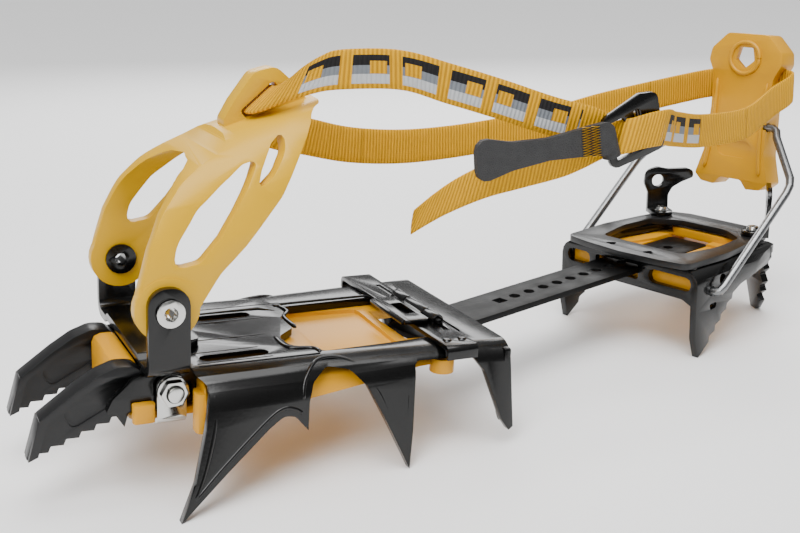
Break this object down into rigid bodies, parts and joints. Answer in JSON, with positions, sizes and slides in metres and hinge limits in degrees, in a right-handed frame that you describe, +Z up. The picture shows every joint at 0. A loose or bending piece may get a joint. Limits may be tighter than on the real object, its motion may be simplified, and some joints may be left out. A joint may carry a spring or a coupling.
{
  "type": "ice crampon",
  "caption": "Strap-on ice crampon for a left boot: spiked front and heel frames on a linking bar, moulded toe cage, wire heel bail with lever, strap with buckle.",
  "frame": {"origin": "middle of the bounding box's base, on the ground plane under the spikes", "axes": "-Y towards the toe of the front section, +Y towards the heel, +X the inner side on which the buckle hangs, +Z up"},
  "size_m": [0.1284, 0.36, 0.1413],
  "materials": {
    "black_coated_steel": "glossy black powder coat on pressed steel",
    "grey_coated_steel": "satin dark grey coat on steel",
    "stainless_steel": "polished to satin stainless steel",
    "yellow_polyamide": "injection moulded polyamide, satin",
    "yellow_elastomer": "flexible thermoplastic, satin",
    "yellow_webbing": "woven polyester webbing with a woven block pattern",
    "grey_rubber": "rubberised fabric with a leather grain"
  },
  "bodies": {
    "front_section": {"front_frame": "black_coated_steel", "left_front_point": "grey_coated_steel", "right_front_point": "grey_coated_steel", "point_spacer": "grey_coated_steel", "point_bolt": "stainless_steel", "point_nut": "stainless_steel", "clamp_bracket": "stainless_steel", "toe_post_strip": "black_coated_steel", "left_strip_rivet": "black_coated_steel", "right_strip_rivet": "black_coated_steel", "right_hinge_eyelet": "stainless_steel", "left_hinge_rivet": "black_coated_steel", "front_antiball_plate": "yellow_elastomer", "rail_clip": "black_coated_steel", "clip_pin": "black_coated_steel", "linking_bar": "grey_coated_steel", "strap_upper": "yellow_webbing", "strap_lower": "yellow_webbing", "strap_heel_loop": "yellow_webbing", "strap_tail": "yellow_webbing", "buckle_frame": "black_coated_steel", "buckle_roller": "stainless_steel"},
    "toe_cage": {"toe_cage": "yellow_polyamide"},
    "bar_clip": {"bar_clip": "black_coated_steel"},
    "heel_section": {"heel_frame": "black_coated_steel", "heel_ring_plate": "grey_coated_steel", "heel_antiball_plate": "yellow_elastomer", "length_latch": "grey_coated_steel", "left_heel_guide": "black_coated_steel", "right_heel_guide": "black_coated_steel", "left_guide_screw": "stainless_steel", "right_guide_screw": "stainless_steel"},
    "bail": {"wire_bail": "stainless_steel"},
    "lever": {"heel_lever": "yellow_polyamide"},
    "pull_tab": {"pull_tab": "grey_rubber"}
  },
  "joints": [
    {"name": "cage_hinge", "type": "hinge", "parent": "front_section", "child": "toe_cage", "pos_m": [0.01272, -0.13441, 0.06553], "axis": [1, 0, 0], "range_deg": [-20, 45], "deforming": ["strap_upper", "strap_lower"]},
    {"name": "clip_hinge", "type": "hinge", "parent": "front_section", "child": "bar_clip", "pos_m": [0.01772, -0.03221, 0.04075], "axis": [1, 0, 0], "range_deg": [-70, 0]},
    {"name": "heel_slide", "type": "slide", "parent": "front_section", "child": "heel_section", "axis": [-0.2576, 0.9662, 0], "range_m": [-0.0174, 0.0261], "deforming": ["strap_lower", "strap_heel_loop"]},
    {"name": "bail_hinge", "type": "hinge", "parent": "heel_section", "child": "bail", "pos_m": [-0.00976, 0.09559, 0.02834], "axis": [0.9662, 0.2576, 0], "range_deg": [-20, 30], "deforming": ["strap_lower", "strap_heel_loop"]},
    {"name": "lever_hinge", "type": "hinge", "parent": "bail", "child": "lever", "pos_m": [-0.02784, 0.16342, 0.08724], "axis": [0.9662, 0.2576, 0], "range_deg": [-25, 45], "deforming": ["strap_lower", "strap_heel_loop"]},
    {"name": "tab_hinge", "type": "hinge", "parent": "front_section", "child": "pull_tab", "pos_m": [0.05512, 0.02641, 0.1045], "axis": [0, -0.309, 0.9511], "range_deg": [0, 28]}
  ]
}
